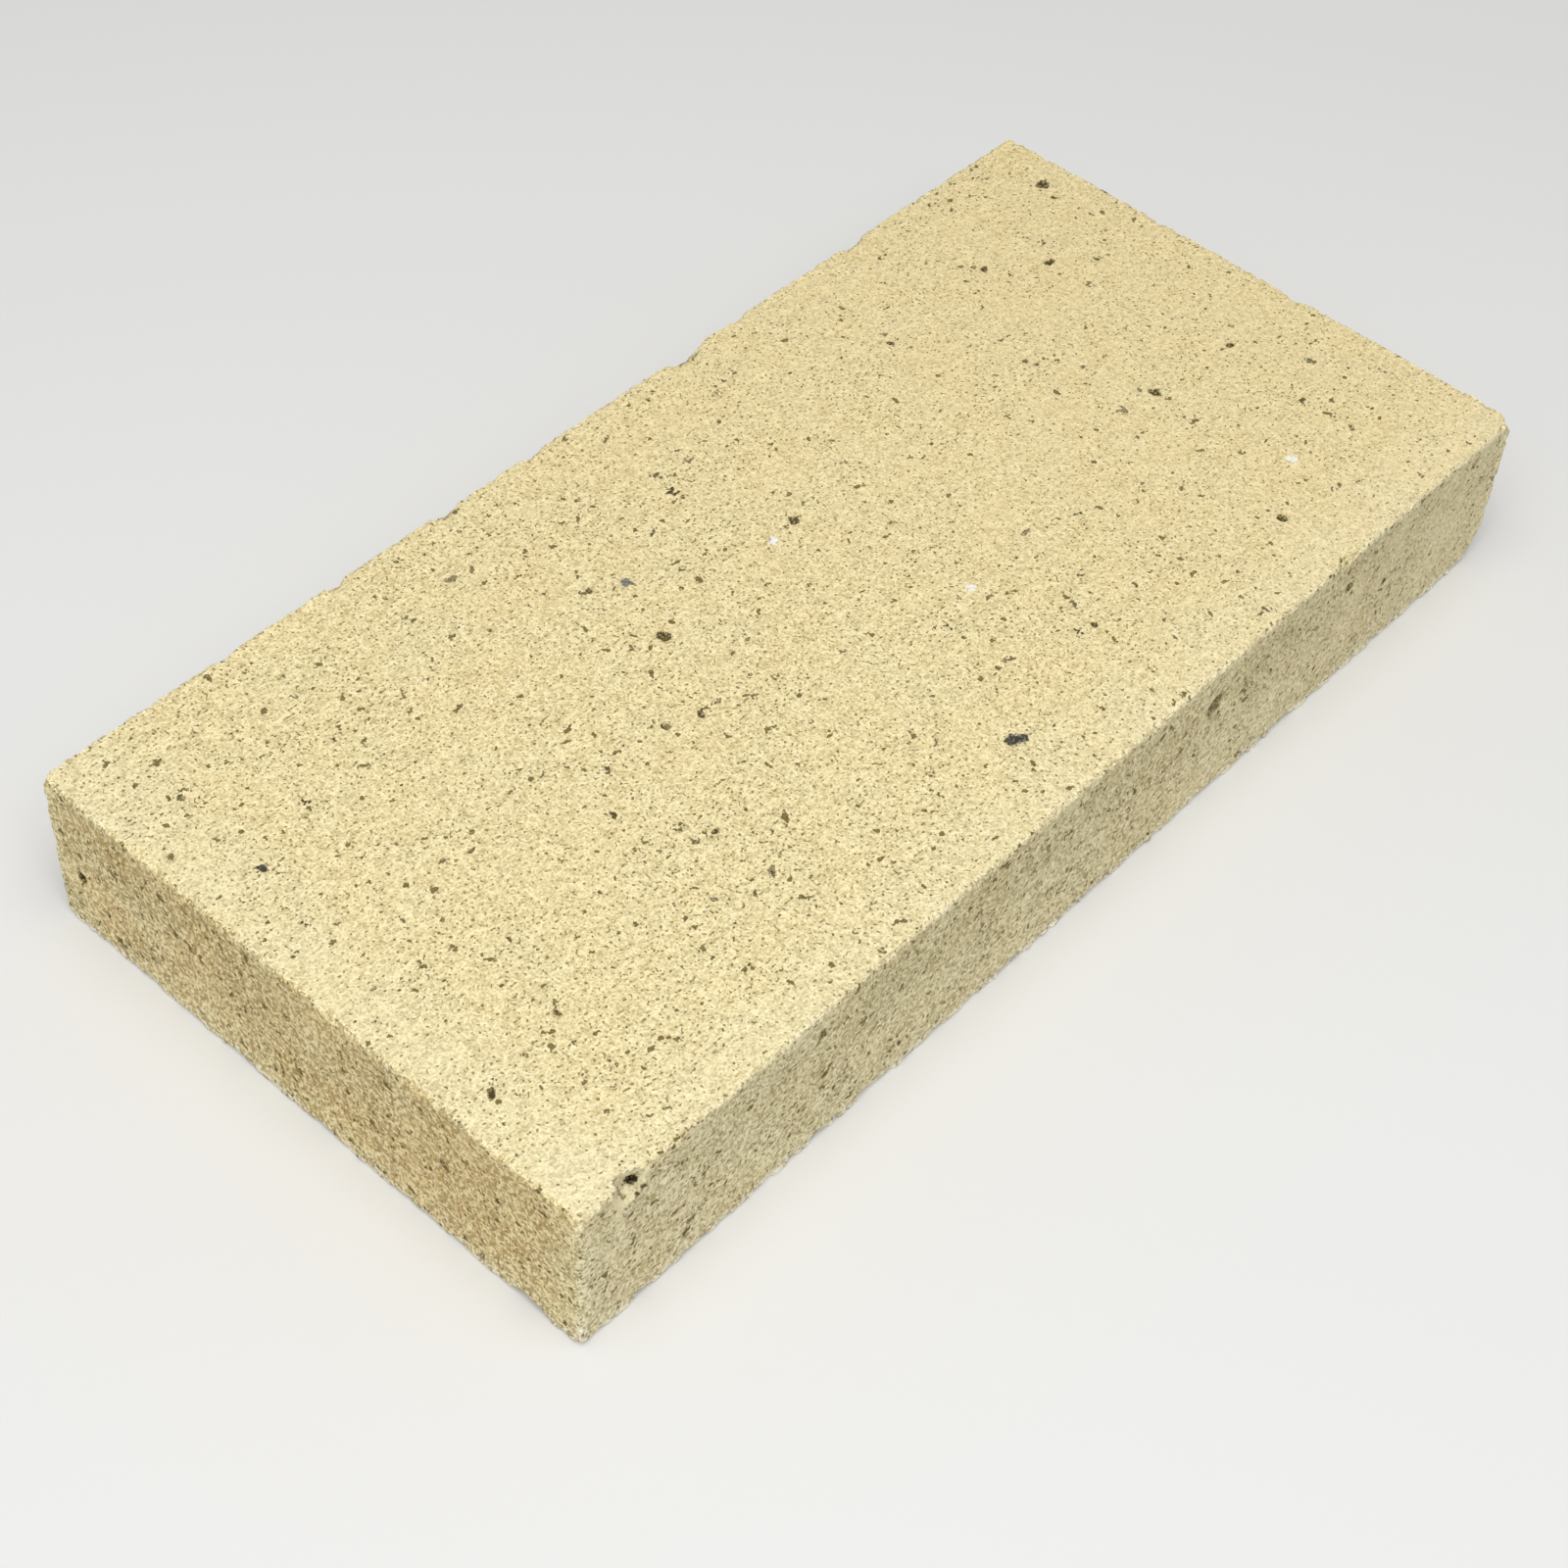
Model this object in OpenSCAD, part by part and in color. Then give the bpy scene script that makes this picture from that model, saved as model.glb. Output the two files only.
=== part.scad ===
// Fireclay split: a thin refractory brick, dry-pressed and fired as one solid piece.
// Millimetres. The brick lies on its lower bed face, length along X and width along Y.
// The origin is at the middle of the lower bed face, with Z up.

/* [Brick] */
// Length of the brick, along X
brick_l = 230; // [115:1:460]
// Width of the brick, along Y
brick_w = 114; // [76:1:230]
// Thickness of the brick, along Z
brick_h = 32; // [25:1:115]

/* [Arrises] */
// Radius that the press mould leaves on the twelve edges
arris_r = 0.5; // [0.4:0.1:1.5]
// Distance from nick to nick along the edges that lie underneath and behind
nick_spacing = 38; // [20:1:80]
// Shortest of those nicks, along its edge
nick_min_l = 2.4; // [2:0.1:3.5]
// Longest of those nicks, along its edge
nick_max_l = 6; // [4:0.1:8]
// Depth of those nicks, measured in from the sharp edge
nick_depth = 1; // [0.8:0.05:1.4]

/* [Worn corners] */
// Wear of the upper corners: left front, right front, right back, left back
upper_corner_wear = [3, 3.4, 1.6, 2.2]; // [1:0.1:6]
// Wear of the lower corners: left front, right front, right back, left back
lower_corner_wear = [2.4, 9, 2.6, 2]; // [1:0.1:12]
// Radius of the crown that rubbing leaves on a worn corner
corner_crown_r = 14; // [12:1:30]

/* [Pits] */
// Distance from pit to pit over the faces that lie underneath and behind
pit_spacing = 36; // [20:1:80]
// Smallest of those pits, across its mouth
pit_min_d = 1.2; // [0.8:0.1:1.6]
// Largest of those pits, across its mouth
pit_max_d = 2.6; // [1.8:0.1:4]
// Depth of any pit for each millimetre of its mouth
pit_depth_ratio = 0.36; // [0.2:0.02:0.46]

/* [Blown chip] */
// Distance from the left end to the middle of the chip that opens a gas bubble
chip_from_end = 9.5; // [7:0.5:20]
// Distance from the upper bed face down to the middle of that chip
chip_drop = 1.8; // [0.8:0.1:3]
// Width of that chip across its mouth
chip_d = 7; // [4:0.5:9]
// Depth of that chip into the long side
chip_depth = 2.2; // [1:0.1:2.4]
// Diameter of the gas bubble in the chip's floor
bubble_d = 2; // [1.4:0.1:2.6]
// Turn of the bubble along the long side, seen from the middle of the chip's curve
bubble_turn = 30; // [0:1:40]
// Dip of the bubble below the middle of that curve
bubble_dip = 18; // [0:1:30]

/* [Hidden] */
clay = "#E1D2A1";
round_fn = 48;
half = [brick_l, brick_w, brick_h] / 2;
middle = [0, 0, half.z];
pit_seed = 44;
nick_seed = 83;

// Where each corner stands, in the order of the wear lists
CORNERS = [[-1, -1], [1, -1], [1, 1], [-1, 1]];

// A place is given in shares of the half sizes: one whole number makes a face, two make an edge.
// Pits that stand out on the upper bed face, as [place, mouth]
TOP_PITS = [
    [[-0.24, 0.2, 1], 2.6],
    [[-0.36, -0.04, 1], 2],
    [[-0.31, -0.08, 1], 1.6],
    [[-0.25, 0.47, 1], 1.8],
    [[0.06, 0.26, 1], 2],
    [[0.94, 0.76, 1], 2.6],
    [[0.93, 0.69, 1], 1.8],
    [[0.66, -0.14, 1], 2.4],
    [[0.83, -0.17, 1], 1.8],
    [[0.79, 0.49, 1], 2.2],
    [[0.7, 0.61, 1], 1.8],
    [[0.46, 0.58, 1], 1.6],
    [[0.57, -0.75, 1], 2],
    [[0.2, -0.63, 1], 1.5],
    [[-0.45, -0.39, 1], 1.6],
    [[-0.8, -0.52, 1], 1.6],
    [[-0.94, -0.58, 1], 1.6],
    [[-0.97, 0.55, 1], 1.6],
];

// Pits that stand out on the front long side and the left end, as [place, mouth]
SIDE_PITS = [
    [[0.26, -1, 0.46], 5],
    [[0.3, -1, 0.66], 1.5],
    [[0.55, -1, 0.52], 1.6],
    [[0.59, -1, 0.48], 3],
    [[0.91, -1, 0.76], 2.8],
    [[-0.57, -1, 0.65], 2.4],
    [[-0.83, -1, -0.14], 2],
    [[-0.7, -1, -0.16], 1.4],
    [[0.7, -1, 0], 2],
    [[-0.62, -1, -0.55], 1.8],
    [[-1, 0.9, -0.2], 2.8],
    [[-1, -0.71, 0.26], 1.8],
    [[-1, 0.8, -0.45], 1.4],
];

// Nicks that stand out on the edges in view, as [place, length, depth]
SEEN_NICKS = [
    [[0.21, 1, 1], 11, 1.9],
    [[0.33, 1, 1], 5, 0.9],
    [[0.6, 1, 1], 7, 1.4],
    [[-0.11, 1, 1], 5, 1.1],
    [[-0.28, 1, 1], 7, 1.2],
    [[-0.49, 1, 1], 5, 1.1],
    [[-0.69, 1, 1], 6, 0.9],
    [[1, 0.36, 1], 4, 0.9],
    [[1, -0.18, 1], 8, 1],
    [[-1, 0.4, 1], 4, 0.8],
    [[-1, -0.45, 1], 5, 0.9],
    [[0.1, -1, 1], 7, 0.8],
    [[0.56, -1, 1], 6, 1],
    [[-0.89, -1, -1], 5, 1.3],
    [[-0.81, -1, -1], 4, 1.1],
    [[-0.56, -1, -1], 5.5, 1.2],
    [[-0.32, -1, -1], 4, 1.2],
    [[-0.18, -1, -1], 4, 1.2],
    [[0.27, -1, -1], 6, 1],
    [[0.48, -1, -1], 5, 1.2],
    [[-1, -0.81, -1], 8, 1.9],
    [[-1, -0.55, -1], 4, 1.1],
    [[-1, -0.36, -1], 4, 1],
    [[-1, -0.06, -1], 5, 1.2],
    [[-1, 0.5, -1], 4, 0.9],
];

// A place on the skin, given in shares of the half sizes
function skin_point(place) = middle + [for (i = [0:2]) half[i] * place[i]];

// The way out of the brick at a place: square to a face, or midway between two faces
function way_out(place) =
    let (whole = [for (share = place) abs(share) == 1 ? share : 0])
    whole / norm(whole);

// A list of three in which one axis has its own value and the other two take a pair
function with_axis(axis, value, pair) =
    [for (i = [0:2]) i == axis ? value : pair[i < axis ? i : i - 1]];

// How many marks at a given spacing a stretch has room for
function room_for(stretch, spacing) = max(1, floor(stretch / spacing));

// The middle of one of a row of equal cells, as a share, moved by up to a third of the cell
function cell_share(cell, cells, shift) = (2 * cell + 1 + 2 * shift / 3) / cells - 1;

// The radius of a ball that sinks this deep through a mouth of this width
function ball_r(mouth, depth) = (pow(mouth / 2, 2) + pow(depth, 2)) / (2 * depth);

// The middle of that ball, at a place on the skin
function ball_middle(place, mouth, depth) =
    skin_point(place) + way_out(place) * (ball_r(mouth, depth) - depth);

// A rectangle with rounded corners, centred
module eased_outline(a, b) {
    union() {
        square([a - 2 * arris_r, b], center = true);
        square([a, b - 2 * arris_r], center = true);
        for (i = [-1, 1], j = [-1, 1])
            translate([i * (a / 2 - arris_r), j * (b / 2 - arris_r)])
                circle(r = arris_r, $fn = round_fn);
    }
}

// The pressed blank: a block that is rounded along all its edges
module blank() {
    translate(middle)
        intersection() {
            linear_extrude(brick_h, center = true)
                eased_outline(brick_l, brick_w);
            rotate([90, 0, 0])
                linear_extrude(brick_w, center = true)
                    eased_outline(brick_l, brick_h);
            rotate([90, 0, 90])
                linear_extrude(brick_l, center = true)
                    eased_outline(brick_w, brick_h);
        }
}

// A hollow broken out of a face or an edge: a ball that reaches this deep through this mouth
module scoop(place, mouth, depth) {
    translate(ball_middle(place, mouth, depth))
        sphere(r = ball_r(mouth, depth), $fn = round_fn);
}

module pit(place, mouth) {
    scoop(place, mouth, mouth * pit_depth_ratio);
}

// What rubbing takes off a corner: all outside a ball through three points on its edges
module corner_loss(corner, wear) {
    inward = wear / sqrt(3) + sqrt(pow(corner_crown_r, 2) - 2 * pow(wear, 2) / 3);
    translate(skin_point(corner))
        difference() {
            cube(2 * wear, center = true);
            translate(-inward * corner / norm(corner))
                sphere(r = corner_crown_r, $fn = round_fn);
        }
}

module worn_corners() {
    for (i = [0:3]) {
        corner_loss([each CORNERS[i], 1], upper_corner_wear[i]);
        corner_loss([each CORNERS[i], -1], lower_corner_wear[i]);
    }
}

// Pits over the face that stands square to an axis on the given side, one in each cell
module scattered_pits(axis, side, seed) {
    across = [for (i = [0:2]) if (i != axis) room_for(2 * half[i], pit_spacing)];
    count = across.x * across.y;
    shifts = rands(-1, 1, 2 * count, seed);
    mouths = rands(pit_min_d, pit_max_d, count, seed + 1);
    for (i = [0:across.x - 1], j = [0:across.y - 1]) {
        k = i + across.x * j;
        u = cell_share(i, across.x, shifts[2 * k]);
        v = cell_share(j, across.y, shifts[2 * k + 1]);
        pit(with_axis(axis, side, [u, v]), mouths[k]);
    }
}

module pits() {
    for (each_pit = [each TOP_PITS, each SIDE_PITS])
        pit(each_pit[0], each_pit[1]);
    scattered_pits(2, -1, pit_seed);
    scattered_pits(1, 1, pit_seed + 10);
    scattered_pits(0, 1, pit_seed + 20);
}

// Nicks along the edge that runs with an axis between two sides, one in each cell
module scattered_nicks(axis, sides, seed) {
    count = room_for(2 * half[axis], nick_spacing);
    shifts = rands(-1, 1, count, seed);
    lengths = rands(nick_min_l, nick_max_l, count, seed + 1);
    for (i = [0:count - 1])
        scoop(with_axis(axis, cell_share(i, count, shifts[i]), sides), lengths[i], nick_depth);
}

module nicks() {
    for (nick = SEEN_NICKS)
        scoop(nick[0], nick[1], nick[2]);
    scattered_nicks(0, [1, -1], nick_seed);
    scattered_nicks(1, [1, -1], nick_seed + 10);
    scattered_nicks(2, [1, 1], nick_seed + 20);
}

// The chip near the left front corner, with a gas bubble laid open in its floor
module blown_chip() {
    place = [chip_from_end / half.x - 1, -1, 1 - chip_drop / half.z];
    level = cos(bubble_dip);
    to_bubble = [level * sin(bubble_turn), level * cos(bubble_turn), -sin(bubble_dip)];
    bubble_reach = ball_r(chip_d, chip_depth) + bubble_d / 5;
    scoop(place, chip_d, chip_depth);
    translate(ball_middle(place, chip_d, chip_depth) + bubble_reach * to_bubble)
        sphere(d = bubble_d, $fn = round_fn);
}

module brick() {
    color(clay)
        difference() {
            blank();
            worn_corners();
            pits();
            nicks();
            blown_chip();
        }
}

brick();
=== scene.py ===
import math

import bpy
import numpy as np
from mathutils import Matrix, Vector, noise
from mathutils.bvhtree import BVHTree


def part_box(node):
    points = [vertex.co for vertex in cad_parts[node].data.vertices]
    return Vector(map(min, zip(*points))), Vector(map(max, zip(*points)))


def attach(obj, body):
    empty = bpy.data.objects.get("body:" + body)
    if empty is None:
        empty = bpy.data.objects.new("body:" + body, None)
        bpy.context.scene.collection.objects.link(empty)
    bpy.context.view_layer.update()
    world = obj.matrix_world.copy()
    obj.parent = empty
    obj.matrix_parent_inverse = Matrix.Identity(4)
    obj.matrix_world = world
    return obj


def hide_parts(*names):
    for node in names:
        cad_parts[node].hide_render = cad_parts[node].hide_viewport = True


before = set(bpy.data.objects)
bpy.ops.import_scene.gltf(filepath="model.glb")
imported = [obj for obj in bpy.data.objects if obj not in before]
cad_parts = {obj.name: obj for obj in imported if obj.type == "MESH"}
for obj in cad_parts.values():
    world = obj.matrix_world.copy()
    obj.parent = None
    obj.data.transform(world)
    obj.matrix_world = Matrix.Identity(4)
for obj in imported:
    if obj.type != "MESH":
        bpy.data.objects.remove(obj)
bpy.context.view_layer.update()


# Brick.
# One block of fireclay, pressed almost dry in a steel mould and fired hard. Its flats keep the mould's
# plane, and its arrises and pits have lost grains of clay, so there its skin is split into finer cells.
MM = 0.001
CELL = 1.6 * MM
FINEST = 4
PLANE_SLACK = 0.01 * MM
low, high = (np.array(corner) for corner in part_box("brick"))
cells = np.round((high - low) / CELL).astype(int)
pitch = (high - low) / (cells * FINEST)

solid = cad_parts["brick"].data
solid_points = np.array([vertex.co for vertex in solid.vertices])
solid_faces = [tuple(face.vertices) for face in solid.polygons]
solid_tree = BVHTree.FromPolygons(solid_points.tolist(), solid_faces)


def spread(mask):
    """The mask grown by one cell each way."""
    wide = np.pad(mask, 1)
    rows, columns = mask.shape
    shifted = [wide[i : i + rows, j : j + columns] for i in range(3) for j in range(3)]
    return np.any(shifted, axis=0)


def others(axis):
    """The two axes that a face square to this one lies along."""
    return [a for a in range(3) if a != axis]


def splits(axis, side):
    """How often each cell of a face is split each way: most at an arris or a hollow of the solid."""
    u, v = others(axis)
    under = np.minimum(solid_points - low, high - solid_points)
    upper = solid_points[:, axis] > (low + high)[axis] / 2
    hollow = (under.min(1) > PLANE_SLACK) & (under.argmin(1) == axis) & (upper == side)
    cell = ((solid_points[hollow] - low) / (pitch * FINEST)).astype(int).clip(0, cells - 1)
    fine = np.zeros((cells[u], cells[v]), bool)
    fine[cell[:, u], cell[:, v]] = True
    fine = spread(fine)
    fine[[0, -1], :] = True
    fine[:, [0, -1]] = True
    return np.where(fine, FINEST, np.where(spread(fine), FINEST // 2, 1))


def knot(axis, side, i, j):
    """A crossing of the finest lines on a face, counted from the low corner along X, Y and Z."""
    u, v = others(axis)
    at = [0, 0, 0]
    at[axis], at[u], at[v] = int(side * cells[axis] * FINEST), i, j
    return tuple(at)


squares = []
for axis in range(3):
    for side in (False, True):
        split = splits(axis, side)
        for i, j in np.ndindex(*split.shape):
            size = FINEST // int(split[i, j])
            starts = range(0, FINEST, size)
            for p in starts:
                squares += [(axis, side, FINEST * i + p, FINEST * j + q, size) for q in starts]

knots = {}
for axis, side, i, j, size in squares:
    for p, q in ((i, j), (i + size, j), (i + size, j + size), (i, j + size)):
        knots.setdefault(knot(axis, side, p, q), len(knots))

faces = []
for axis, side, i, j, size in squares:
    run = range(size)
    rim = [(i + k, j) for k in run] + [(i + size, j + k) for k in run]
    rim += [(i + size - k, j + size) for k in run] + [(i, j + size - k) for k in run]
    loop = [knots[at] for at in (knot(axis, side, p, q) for p, q in rim) if at in knots]
    faces.append(loop[::-1] if (axis == 1) == side else loop)

# Each point starts on the sharp box and sinks to the solid, along a line to a box set inside it.
# The solid's smooth hollows are looked up a little to one side, so that their rims come out ragged.
# Beyond that the press leaves a slight swell and a sandy face, and the arrises shed grains and flakes.
# A flake leaves a flat facet that is taller than it is deep. Wear and dust are given for the arrises
# that run along X, Y and Z, and the foot has lost the most. The pale dust on the upright arrises is
# partly a painted highlight.
INSET = 3 * MM
RUN_UP = 1 * MM
RAG, RAG_SIZE, RAG_SEED = 0.55 * MM, 1.4 * MM, 5
SWELL, SWELL_SIZE = 0.08 * MM, 11 * MM
SAND, SAND_SIZE = 0.12 * MM, 2.3 * MM
ARRIS_REACH, ARRIS_FADE = 1.8 * MM, 1.5
GRAIN_LOSS, GRAIN_SIZE, GRAIN_KEY, GRAIN_RARITY = 0.4 * MM, 1.0 * MM, 17.3, 3
FLAKE_REACH = np.array([0.3, 0.3, 0.7]) * MM
FLAKE_SIZE, FLAKE_KEY, FLAKES_LEFT = 2.4 * MM, 23.7, 0.5
STRETCH_SIZE, SOUND_GRAINS, SOUND_FLAKES = 13 * MM, 0.3, 0.4
UPPER_WEAR, FOOT_WEAR = np.array([1.6, 1.8, 1.9]), np.array([3.0, 2.4, 2.0])
# The upright arrises' high dust value partly paints their highlight.
UPPER_DUST_AND_SHEEN, FOOT_DUST = np.array([0.0, 0.1, 0.62]), np.array([1.0, 0.8, 0.6])
DUST_AND_SHEEN_REACH, BREAK_DUST = 3.2 * MM, 0.35
PIT_DEPTH = 0.5 * MM
BROKEN_ANGLE = math.radians(35)


def lot(place, size, key):
    """A steady number from 0 to 1 for the grain of this size that a point belongs to."""
    middle = noise.voronoi(place / size)[1][0]
    return abs(noise.cell(middle * key))


def unevenness(place, size):
    """Smooth noise from 0 to 1."""
    return min(1, max(0, 0.5 + 0.5 * noise.noise(place / size)))


sharp = low + np.array(list(knots)) * pitch
aim = sharp.clip(low + INSET, high - INSET) - sharp
aim /= np.linalg.norm(aim, axis=1)[:, None]
plane_gaps = np.minimum(sharp - low, high - sharp)
nearest_two = plane_gaps.argsort(axis=1)[:, :2]
edge_gaps = np.sort(plane_gaps, axis=1)[:, 1]
runs_along = plane_gaps.argmax(1)
at_foot = sharp[:, 2] < low[2] + INSET
frailty = np.where(at_foot, FOOT_WEAR[runs_along], UPPER_WEAR[runs_along])
dust_and_sheen = np.where(at_foot, FOOT_DUST[runs_along], UPPER_DUST_AND_SHEEN[runs_along])

noise.seed_set(RAG_SEED)
points, worn, pitted = [], [], []
for start, inward, plane_gap, pair, edge_gap, frail, point_dust_and_sheen in zip(
    sharp, aim, plane_gaps, nearest_two, edge_gaps, frailty, dust_and_sheen
):
    reach_share = plane_gap[pair] / FLAKE_REACH[pair]
    pace = np.abs(inward[pair]) / FLAKE_REACH[pair]
    start, inward = Vector(start), Vector(inward)
    rag = noise.noise_vector(start / RAG_SIZE) * RAG
    aside = Vector(0 if gap < PLANE_SLACK else move for gap, move in zip(plane_gap, rag))
    hit, _, _, reach = solid_tree.ray_cast(start + aside - inward * RUN_UP, inward)
    hollow = max(0, reach - RUN_UP) if hit else 0
    inland = min(1, edge_gap / ARRIS_REACH)
    pressed = SWELL * unevenness(start, SWELL_SIZE) + SAND * unevenness(start, SAND_SIZE)
    weak = unevenness(start, STRETCH_SIZE)
    loose_grain = lot(start, GRAIN_SIZE, GRAIN_KEY) ** GRAIN_RARITY
    shed = (1 - inland) ** ARRIS_FADE * GRAIN_LOSS * loose_grain * (SOUND_GRAINS + weak) * frail
    flake = lot(start, FLAKE_SIZE, FLAKE_KEY)
    cut = flake * (SOUND_FLAKES + weak) * frail if flake > FLAKES_LEFT else 0
    flaked = max(0, cut - reach_share.sum()) / pace.sum()
    points.append(start + inward * (max(hollow, flaked) + pressed * inland + shed))
    pale_grains_and_sheen = min(1, point_dust_and_sheen + weak * (shed + flaked) / GRAIN_LOSS * BREAK_DUST)
    worn.append(pale_grains_and_sheen * max(0, 1 - edge_gap / DUST_AND_SHEEN_REACH))
    pitted.append(min(1, hollow / PIT_DEPTH) * inland)

mesh = bpy.data.meshes.new("brick_skin")
mesh.from_pydata(points, [], faces)
for name, values in (("worn", worn), ("pitted", pitted)):
    mesh.attributes.new(name, "FLOAT", "POINT").data.foreach_set("value", values)
mesh.shade_smooth()
mesh.set_sharp_from_angle(angle=BROKEN_ANGLE)
brick_skin = bpy.data.objects.new("brick_skin", mesh)
bpy.context.scene.collection.objects.link(brick_skin)


# Its clay is cream fireclay full of paler grog, with fine open pores, darker blown pores and a few
# specks of iron and lime. The ends were flashed brown in the kiln, and fresh grains along the arrises
# are paler, on the upright arrises partly as a painted highlight. Painted shade darkens the sides below
# the top, the pit floors and the bubble.
class Wire:
    """A socket of a material. Arithmetic with it adds Math nodes."""

    def __init__(self, tree, socket=None):
        self.tree = tree
        self.socket = socket

    def node(self, kind, settings, sockets, output=None):
        """A new node of this kind, as the wire from the output that is named, or from its first."""
        made = self.tree.nodes.new(kind)
        for name, value in settings.items():
            setattr(made, name, value)
        inlets = {inlet.identifier: inlet for inlet in made.inputs}
        for name, value in sockets.items():
            if isinstance(value, Wire):
                self.tree.links.new(value.socket, inlets[name])
            else:
                inlets[name].default_value = value
        return Wire(self.tree, made.outputs[0] if made.outputs else None).out(output)

    def out(self, identifier):
        """Another output of the same node, or this one if none is named."""
        if identifier is None:
            return self
        outlets = {outlet.identifier: outlet for outlet in self.socket.node.outputs}
        return Wire(self.tree, outlets[identifier])

    def math(self, operation, first, second=0.0):
        sockets = {"Value": first, "Value_001": second}
        return self.node("ShaderNodeMath", {"operation": operation}, sockets)

    def __add__(self, other):
        return self.math("ADD", self, other)

    __radd__ = __add__

    def __mul__(self, other):
        return self.math("MULTIPLY", self, other)

    __rmul__ = __mul__

    def __sub__(self, other):
        return self.math("SUBTRACT", self, other)

    def __rsub__(self, other):
        return self.math("SUBTRACT", other, self)

    def __abs__(self):
        return self.math("ABSOLUTE", self)


material = bpy.data.materials.new("fired_clay")
material.use_nodes = True
material.node_tree.nodes.clear()
clay = Wire(material.node_tree)
place = clay.node("ShaderNodeTexCoord", {}, {}, "Object")


def mottle(size, detail=1, output="Fac"):
    """Cloudy noise round one half, whose lumps are about this size."""
    sockets = {"Vector": place, "Scale": 1 / size, "Detail": detail}
    return clay.node("ShaderNodeTexNoise", {}, sockets, output)


def ramp(value, start, end):
    """A smooth step up from start to end, or down where start is the larger."""
    settings = {"interpolation_type": "SMOOTHSTEP"}
    sockets = {"Value": value, "From Min": min(start, end), "From Max": max(start, end)}
    sockets |= {"To Min": float(start > end), "To Max": float(start < end)}
    return clay.node("ShaderNodeMapRange", settings, sockets)


def tint(under, over, amount, blend="MIX"):
    """One colour laid over another."""
    settings = {"data_type": "RGBA", "blend_type": blend}
    sockets = {"Factor_Float": amount, "A_Color": under, "B_Color": over}
    return clay.node("ShaderNodeMix", settings, sockets, "Result_Color")


def attribute(name):
    """A value that the mesh keeps for each point."""
    return clay.node("ShaderNodeAttribute", {"attribute_name": name}, {}, "Fac")


# The ends and the long sides are told from the beds by their places.
FACE_FROM, FACE_TO = 0.9 * MM, 0.3 * MM
half_x, half_y, _ = ((high - low) / 2).tolist()
top = float(high[2])
along = clay.node("ShaderNodeSeparateXYZ", {}, {"Vector": place}, "X")
across, height = along.out("Y"), along.out("Z")
ends = ramp(abs(along), half_x - FACE_FROM, half_x - FACE_TO)
long_sides = ramp(abs(across), half_y - FACE_FROM, half_y - FACE_TO)
upright = ends + long_sides

# Matrix: dun clay and cream grog in grains of three sizes, boldest on the ends and fading to the right.
# The beds are a little rosier towards the right and the back, and paler along the left and the front.
DUN = (0.54, 0.435, 0.207, 1)
CREAM = (0.985, 0.865, 0.515, 1)
ROSE = (1.0, 0.978, 0.955, 1)
PALE = (0.96, 0.92, 0.70, 1)
GRIT_SIZE, DRIFT_SIZE, PATCH_SIZE, BLUSH_SIZE = 0.42 * MM, 3.2 * MM, 9 * MM, 28 * MM
GRIT_SHARE, GRAIN_SHARE, DRIFT_SHARE = 1.8, 1.25, 0.5
grit = mottle(GRIT_SIZE)
grain = mottle(GRAIN_SIZE)
drift = mottle(DRIFT_SIZE)
patch = mottle(PATCH_SIZE) - 0.5
speckle = (grit - 0.5) * GRIT_SHARE + (grain - 0.5) * GRAIN_SHARE + (drift - 0.5) * DRIFT_SHARE
calm = ramp(along + across * 0.5, -45 * MM, 95 * MM)
boldness = 1.08 - calm * 0.38 + ends * 0.95 + long_sides * (0.3 - calm * 0.3)
tone = 0.5 + speckle * boldness + patch * (ends * 0.7 + long_sides * 0.35)
colour = tint(DUN, CREAM, tone)
blush = (mottle(BLUSH_SIZE) - 0.5) * (200 * MM)
rosy = ramp(along + across * 0.8 + blush, -100 * MM, 130 * MM)
colour = tint(colour, ROSE, rosy * (1 - upright), "MULTIPLY")
by_left = ramp(along, 18 * MM - half_x, 3 * MM - half_x)
by_front = ramp(across, 16 * MM - half_y, 2 * MM - half_y)
chalky = (by_left + by_front) * (1 - upright)
colour = tint(colour, PALE, chalky * 0.1)

# Kiln marks: the long sides went greyer than the beds. Painted shade darkens them in the middle and
# above, and the ends near the top.
# The ends were scorched brown in patches, clear of the arrises round them. Faint ruddy clouds lie
# all over, strongest on the ends towards the front and at the right back corner.
GREY_SIDE = (0.95, 0.98, 1.09, 1)
SIDE_SHADE_TINT = (0.87, 0.865, 0.82, 1)
SCORCH = (0.89, 0.81, 0.75, 1)
RUDDY = (1.015, 0.985, 0.93, 1)
WAN = (0.985, 1.012, 1.055, 1)
FLAME_SIZE, CLOUD_SIZE = 14 * MM, 10 * MM
# Painted shade: the sides and ends below the top arris darken towards the top, and the long sides most
# in the middle of their length.
under_top = ramp(height, top - 0.2 * MM, top - 2.0 * MM)
shade_by_height = under_top * (0.25 + ramp(height, 0.28 * top, 0.88 * top) * 0.75)
mid_length = ramp(abs(along), 1.2 * half_x, 0.2 * half_x)
painted_side_shade = shade_by_height * (long_sides * (0.4 + mid_length * 0.8) + ends * 0.5)
colour = tint(colour, GREY_SIDE, long_sides, "MULTIPLY")
colour = tint(colour, SIDE_SHADE_TINT, painted_side_shade, "MULTIPLY")
off_sides = ramp(abs(across), half_y - 1 * MM, half_y - 11 * MM)
off_top = ramp(height, top - 0.5 * MM, top - 1.5 * MM)
flames = ends * off_sides * off_top * (0.3 + ramp(height, 1 * MM, 8 * MM) * 0.7)
patchy_flames = flames * (0.5 + ramp(mottle(FLAME_SIZE), 0.36, 0.64) * 0.6)
colour = tint(colour, SCORCH, patchy_flames * (0.4 + ramp(grain, 0.58, 0.42) * 1.2), "MULTIPLY")
by_back_corner = ramp(along + across, 140 * MM, 172 * MM)
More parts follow.
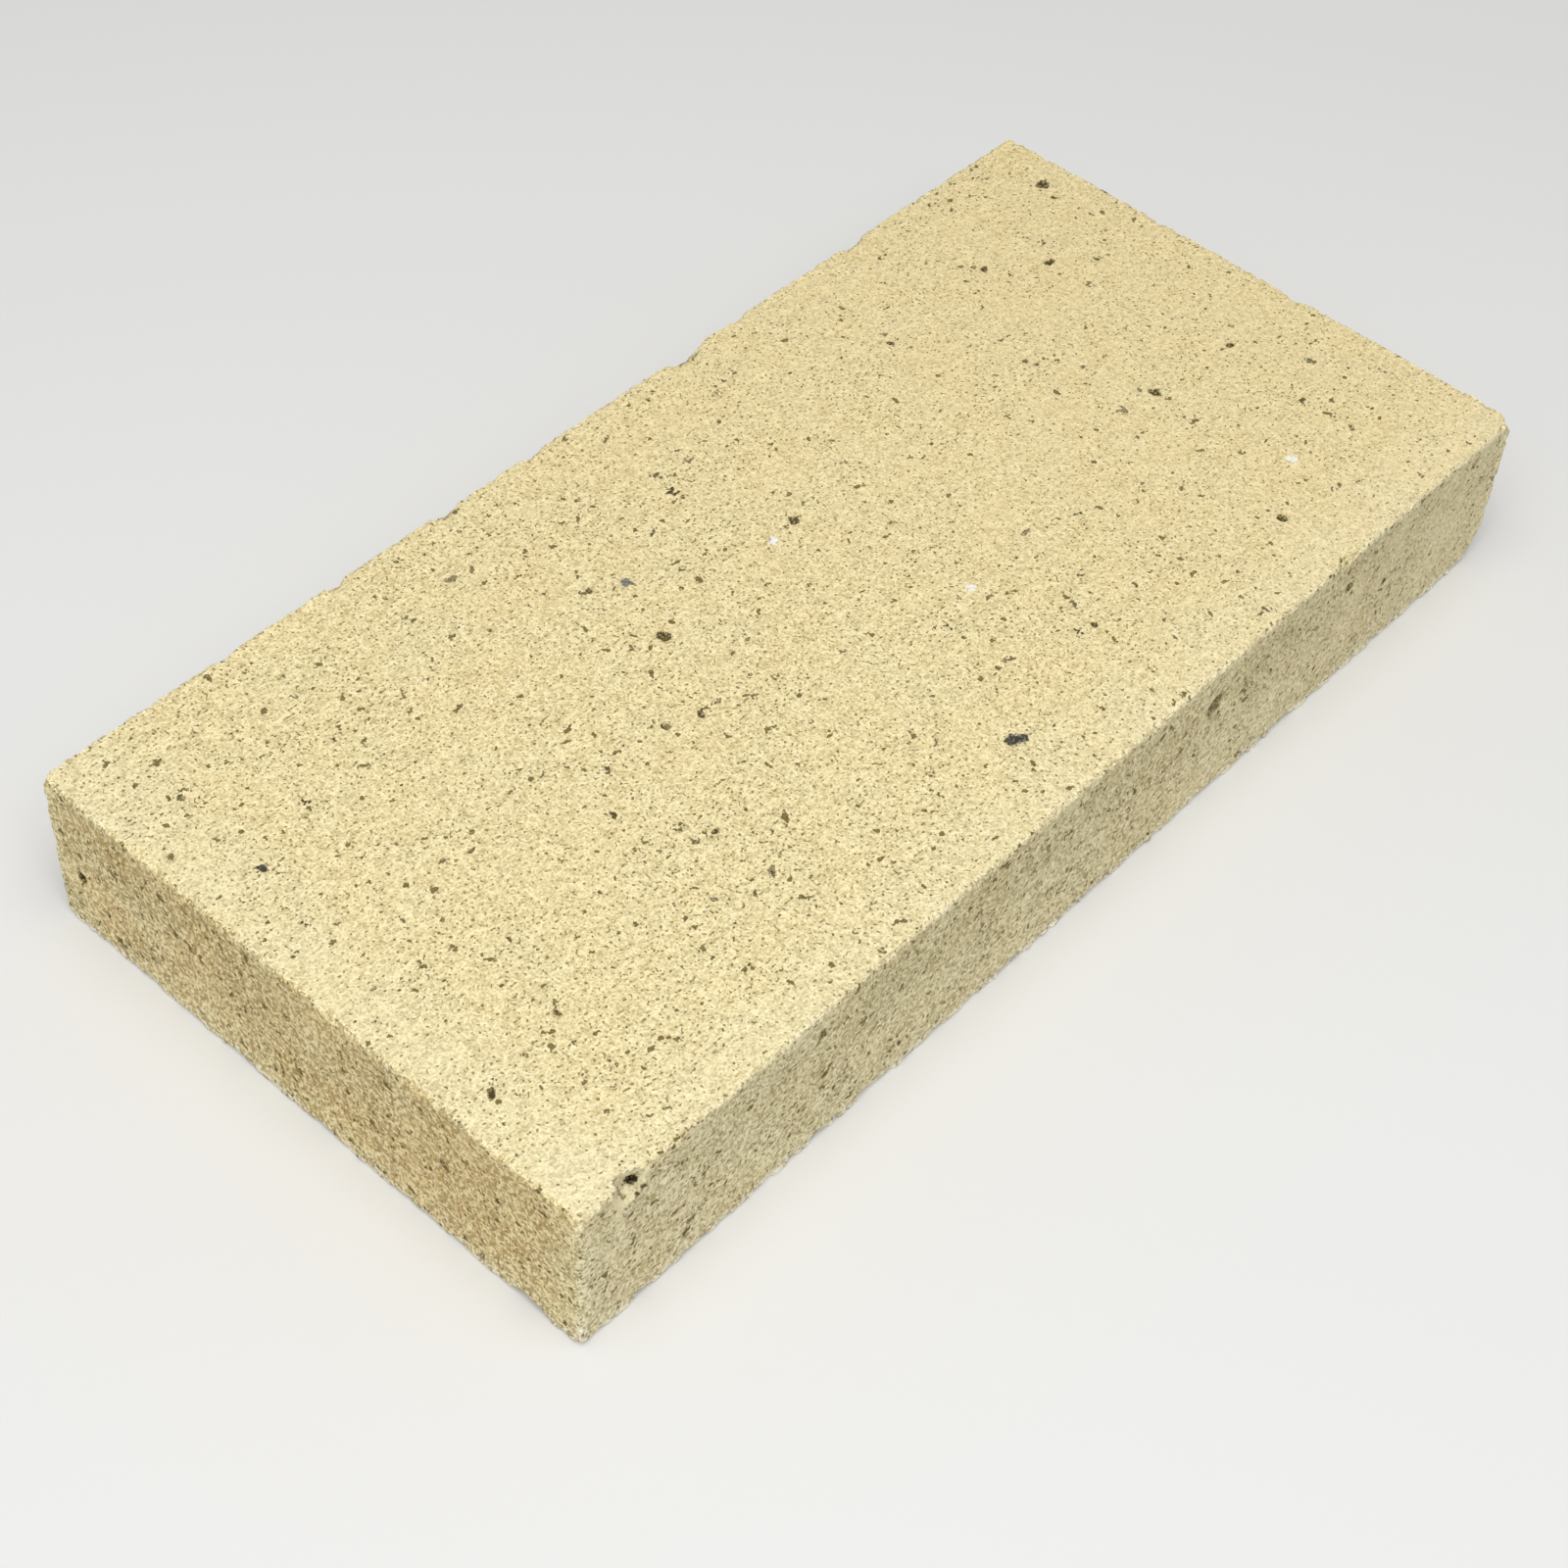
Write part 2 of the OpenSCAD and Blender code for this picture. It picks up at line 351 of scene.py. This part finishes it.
flushed = ends * ramp(across, -12 * MM, -35 * MM) * ramp(height, 2 * MM, 12 * MM) + by_back_corner
clouds = tint(WAN, RUDDY, ramp(mottle(CLOUD_SIZE, 2) + flushed * 0.12, 0.34, 0.66))
cloudy = 0.25 + ends * 0.45 + long_sides * 0.05 + by_back_corner * 0.3
colour = tint(colour, clouds, cloudy, "MULTIPLY")

# Pores: pinholes and ragged pores all over, fewest on the long sides, and a few hollows that gas blew.
# A pore opens where its noise sinks through two levels, and closes where something is added to that.
PINHOLE = (0.15, 0.11, 0.025, 1)
BLOWN = (0.07, 0.05, 0.012, 1)
PINHOLE_SIZE, PINHOLE_LEVELS = 0.55 * MM, (0.322, 0.24)
PORE_SIZE, PORE_LEVELS = 1.7 * MM, (0.325, 0.302)
HOLLOWS_APART = 8.5 * MM
HOLLOW_MIN_R, HOLLOW_MAX_R, HOLLOW_EDGE = 0.35 * MM, 0.8 * MM, 0.09 * MM
FRAY_SIZE, HOLLOW_FRAY = 1.0 * MM, 3.2 * MM
stray = clay.node(
    "ShaderNodeVectorMath",
    {"operation": "SUBTRACT"},
    {"Vector": mottle(FRAY_SIZE, 2, "Color"), "Vector_001": (0.5, 0.5, 0.5)},
)


def frayed(amount):
    """The place, strayed by cloudy noise so that round marks come out ragged."""
    sockets = {"Vector": stray, "Vector_001": (amount,) * 3, "Vector_002": place}
    return clay.node("ShaderNodeVectorMath", {"operation": "MULTIPLY_ADD"}, sockets)


closer = patch * 0.12 + long_sides * 0.003 - ends * 0.014 + chalky * 0.015 + calm * 0.018 - 0.002
pinholes = ramp(mottle(PINHOLE_SIZE, 0) + closer, *PINHOLE_LEVELS)
open_pores = ramp(mottle(PORE_SIZE, 2) + closer, *PORE_LEVELS)
spacing = {"Vector": frayed(HOLLOW_FRAY), "Scale": 1 / HOLLOWS_APART}
to_hollow = clay.node("ShaderNodeTexVoronoi", {}, spacing, "Distance")
hollow_lot = clay.node("ShaderNodeSeparateColor", {}, {"Color": to_hollow.out("Color")}, "Red")
past_rim = to_hollow * HOLLOWS_APART - hollow_lot * (HOLLOW_MAX_R - HOLLOW_MIN_R)
blown = ramp(past_rim, HOLLOW_MIN_R + HOLLOW_EDGE, HOLLOW_MIN_R - HOLLOW_EDGE)
colour = tint(colour, PINHOLE, pinholes * 0.75)
colour = tint(colour, PINHOLE, open_pores * 0.9)
colour = tint(colour, BLOWN, blown * (0.6 + hollow_lot.out("Green") * 0.4))

# Wear: pale fresh grains where the arrises crumbled, chalkiest at the foot, and on the upright arrises
# partly a painted highlight. The pits get dark floors, partly burnt-out clay and partly painted shade,
# a little lighter on the long sides.
CRUMB_AND_HIGHLIGHT = (0.965, 0.885, 0.575, 1)
CHALK = (0.97, 0.92, 0.76, 1)
PIT_FLOOR = (0.08, 0.058, 0.016, 1)
by_foot = ramp(height, 8 * MM, 2 * MM)
# Pale grains on the arrises; on the upright arrises this paleness is partly a painted highlight.
crumbs_and_sheen = ramp(attribute("worn") + (grain - 0.5) * 2.0 + (grit - 0.5) * 2.0, 0.30, 0.80)
colour = tint(colour, tint(CRUMB_AND_HIGHLIGHT, CHALK, by_foot), crumbs_and_sheen * (0.7 + by_foot * 0.1))
by_side = ramp(abs(across), half_y - 3 * MM, half_y - 2 * MM)
# Dark pit floors deepen with the pit's depth: partly dark burnt-out clay, partly painted shade.
pits = ramp(attribute("pitted") + (grain - 0.5) * 1.6 + (grit - 0.5) * 1.2, 0.36, 0.72)
colour = tint(colour, PIT_FLOOR, pits * (1 - ramp(grit, 0.48, 0.66) * 0.35 - by_side * 0.17))

# Marks that stand out, each as its middle and radius in millimetres, and its colour.
# The first six are the blown chip with its pale rind, its bubble with painted shade in the hole, and
# the cracks and crumbs at its rim, the crumbs partly a painted highlight.
IRON = (0.055, 0.05, 0.046, 1)
SLAG = (0.17, 0.17, 0.16, 1)
LIME = (0.88, 0.86, 0.80, 1)
RIND_AND_HIGHLIGHT = (0.77, 0.69, 0.44, 1)
BUBBLE = (0.03, 0.018, 0.008, 1)
MARKS = (
    ((-105.5, -58.7, 30.2), 4.1, RIND_AND_HIGHLIGHT),
    # Painted shade: the bubble's hole is painted near black.
    ((-103.5, -55.2, 28.9), 0.9, BUBBLE),
    ((-103.9, -57, 27.1), 0.5, PIT_FLOOR),
    ((-102.8, -57, 28), 0.5, PIT_FLOOR),
    # Pale crumbs with a painted highlight along the chip's rim.
    ((-106.9, -56.8, 29), 0.7, CRUMB_AND_HIGHLIGHT),
    ((-102.3, -57, 30.4), 0.5, CRUMB_AND_HIGHLIGHT),
    ((-98.5, -57, 24.7), 0.8, CRUMB_AND_HIGHLIGHT),
    # Painted highlight with pale grains on the right rim of the big pit in the front long side, which
    # faces the light.
    ((32.6, -56.6, 21.8), 0.9, RIND_AND_HIGHLIGHT),
    ((-6, -42.6, 32), 1.3, IRON),
    ((-4.4, -43.2, 32), 1, IRON),
    ((-23.4, 23.9, 32), 1, SLAG),
    ((-103.6, 19.9, 32), 0.8, IRON),
    ((0.7, 13.7, 32), 0.9, LIME),
    ((15.4, -16.5, 32), 0.7, LIME),
    ((78.5, -35.3, 32), 1, LIME),
)
MARK_FRAY, MARK_EDGE = 1.6 * MM, 0.2 * MM
MARK_COVER, MARK_GRAIN = 1.55, 1.2
ragged_place = frayed(MARK_FRAY)
grainy_cover = MARK_COVER - grit * MARK_GRAIN
for middle, radius, shade in MARKS:
    sockets = {"Vector": ragged_place, "Vector_001": [c * MM for c in middle]}
    away = clay.node("ShaderNodeVectorMath", {"operation": "DISTANCE"}, sockets, "Value")
    mark = ramp(away, radius * MM + MARK_EDGE, radius * MM - MARK_EDGE)
    colour = tint(colour, shade, mark * grainy_cover)

# Relief in millimetres: sandy grains stand up, pores sink. The fired face is matt.
GRIT_RISE, GRAIN_RISE, DRIFT_RISE = 0.22, 0.4, 0.35
PINHOLE_SINK, PORE_SINK, HOLLOW_SINK = 0.1, 0.25, 0.4
ROUGHNESS, SPECULAR = 0.92, 0.2
risen = grit * GRIT_RISE + grain * GRAIN_RISE + drift * DRIFT_RISE
relief = risen - pinholes * PINHOLE_SINK - open_pores * PORE_SINK - blown * HOLLOW_SINK
bump = clay.node("ShaderNodeBump", {}, {"Strength": 1.0, "Distance": MM, "Height": relief}, "Normal")
finish = {"Base Color": colour, "Roughness": ROUGHNESS, "Specular IOR Level": SPECULAR, "Normal": bump}
shader = clay.node("ShaderNodeBsdfPrincipled", {}, finish)
clay.node("ShaderNodeOutputMaterial", {}, {"Surface": shader})

mesh.materials.append(material)
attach(brick_skin, "root")
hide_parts("brick")


# Floor.
# A plain pale studio floor, on which the brick lies flat on its lower bed face.
# It is a matt sheet, wide enough to fill the view.
FLOOR_SPAN = 8.0
FLOOR_COLOUR = (0.74, 0.74, 0.73, 1)
FLOOR_ROUGHNESS = 0.9
edge = FLOOR_SPAN / 2
floor_mesh = bpy.data.meshes.new("floor")
corners = [(-edge, -edge, 0), (edge, -edge, 0), (edge, edge, 0), (-edge, edge, 0)]
floor_mesh.from_pydata(corners, [], [(0, 1, 2, 3)])
floor = bpy.data.objects.new("floor", floor_mesh)
bpy.context.scene.collection.objects.link(floor)
paint = bpy.data.materials.new("floor_paint")
paint.use_nodes = True
floor_shader = paint.node_tree.nodes["Principled BSDF"]
floor_shader.inputs["Base Color"].default_value = FLOOR_COLOUR
floor_shader.inputs["Roughness"].default_value = FLOOR_ROUGHNESS
floor_mesh.materials.append(paint)


# Light and camera.
# A soft square lamp hangs above the brick, a little to the camera's side, under an even pale sky.
# The camera looks down on the corner between the left end and the front long side.
SKY = 0.43
LAMP_POWER = 8.35
LAMP_SIZE = 0.8
LAMP_AT = Vector((-0.30, -0.25, 0.90))
world = bpy.data.worlds.new("studio")
world.use_nodes = True
background = world.node_tree.nodes["Background"]
background.inputs["Color"].default_value = (1, 1, 1, 1)
background.inputs["Strength"].default_value = SKY
bpy.context.scene.world = world

lamp_data = bpy.data.lights.new("soft_lamp", "AREA")
lamp_data.size = LAMP_SIZE
lamp_data.energy = LAMP_POWER
lamp = bpy.data.objects.new("soft_lamp", lamp_data)
lamp.location = LAMP_AT
lamp.rotation_mode = "QUATERNION"
lamp.rotation_quaternion = (-LAMP_AT).to_track_quat("-Z", "Y")
bpy.context.scene.collection.objects.link(lamp)

CAMERA_AT = Vector((-263.90, -207.94, 358.88)) * MM
AZIMUTH, ELEVATION, ROLL = (math.radians(degrees) for degrees in (-50.81, 48.24, 4.08))
LENS, SENSOR_WIDTH = 66.32, 36
NEAREST = 0.01
right = Vector((math.cos(AZIMUTH), math.sin(AZIMUTH), 0))
level_back = Vector((math.sin(AZIMUTH), -math.cos(AZIMUTH), 0))
back = level_back * math.cos(ELEVATION) + Vector((0, 0, math.sin(ELEVATION)))
turn = Matrix((right, back.cross(right), back)).transposed() @ Matrix.Rotation(ROLL, 3, "Z")
camera_data = bpy.data.cameras.new("camera")
camera_data.lens = LENS
camera_data.sensor_width = SENSOR_WIDTH
camera_data.clip_start = NEAREST
camera = bpy.data.objects.new("camera", camera_data)
camera.matrix_world = Matrix.Translation(CAMERA_AT) @ turn.to_4x4()
bpy.context.scene.collection.objects.link(camera)
bpy.context.scene.camera = camera
bpy.context.scene.view_settings.view_transform = "Standard"
